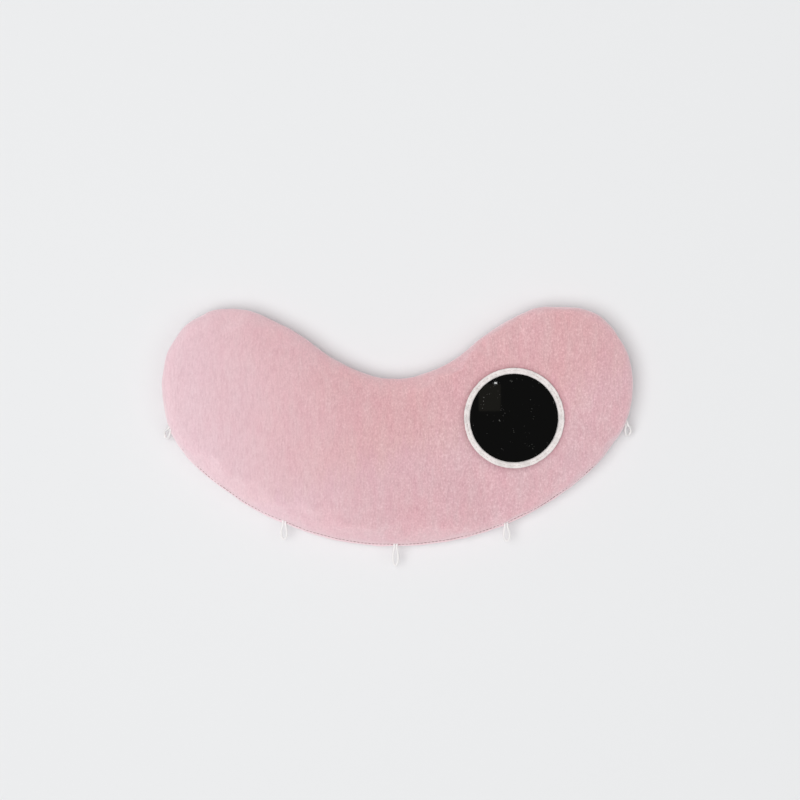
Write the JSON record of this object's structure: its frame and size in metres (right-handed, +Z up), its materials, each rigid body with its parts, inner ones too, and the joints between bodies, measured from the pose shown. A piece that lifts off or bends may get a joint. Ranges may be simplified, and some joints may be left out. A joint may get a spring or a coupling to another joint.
{
  "type": "crescent activity cushion",
  "caption": "Padded crescent cushion in pink velvet with a round bound mirror on one lobe and cord hang loops along its lower seam.",
  "frame": {"origin": "on the flat underside, below the middle of the cushion's width, between the notch and the lower edge", "axes": "+X to the mirror's side along the width, +Y towards the notch and the lobes' tops, +Z up through the front panel"},
  "size_m": [0.5067, 0.2815, 0.042],
  "materials": {
    "velvet": "short-pile pink velvet",
    "fibre": "white polyester fibre",
    "mirror": "silvered acrylic sheet",
    "lining": "plain white woven lining",
    "binding": "off-white cotton binding",
    "thread": "off-white sewing thread",
    "seam_thread": "pink sewing thread",
    "cord": "off-white twisted cotton cord"
  },
  "bodies": {
    "cushion": {"front_panel": "velvet", "back_panel": "velvet", "filling": "fibre", "mirror_disc": "mirror", "mirror_pocket": "lining", "window_binding": "binding", "binding_stitch": "thread", "seam_stitch": "seam_thread", "loop_end_far_left": "cord", "loop_end_left": "cord", "loop_end_centre": "cord", "loop_end_right": "cord", "loop_end_far_right": "cord"},
    "loop_far_left": {"hang_loop_far_left": "cord"},
    "loop_left": {"hang_loop_left": "cord"},
    "loop_centre": {"hang_loop_centre": "cord"},
    "loop_right": {"hang_loop_right": "cord"},
    "loop_far_right": {"hang_loop_far_right": "cord"}
  },
  "joints": [
    {"name": "loop_far_left_swing", "type": "hinge", "parent": "cushion", "child": "loop_far_left", "pos_m": [-0.24331, 0.00784, 0.022], "axis": [-0.848, 0.5299, 0], "range_deg": [-12, 120]},
    {"name": "loop_left_swing", "type": "hinge", "parent": "cushion", "child": "loop_left", "pos_m": [-0.12086, -0.09399, 0.022], "axis": [-0.9994, 0.0349, 0], "range_deg": [-44, 88]},
    {"name": "loop_centre_swing", "type": "hinge", "parent": "cushion", "child": "loop_centre", "pos_m": [-0.00214, -0.11879, 0.022], "axis": [-1, 0, 0], "range_deg": [-44, 88]},
    {"name": "loop_right_swing", "type": "hinge", "parent": "cushion", "child": "loop_right", "pos_m": [0.11592, -0.09606, 0.022], "axis": [-0.9976, -0.0698, 0], "range_deg": [-44, 88]},
    {"name": "loop_far_right_swing", "type": "hinge", "parent": "cushion", "child": "loop_far_right", "pos_m": [0.24459, 0.01145, 0.022], "axis": [-0.9397, -0.342, 0], "range_deg": [-12, 120]}
  ]
}
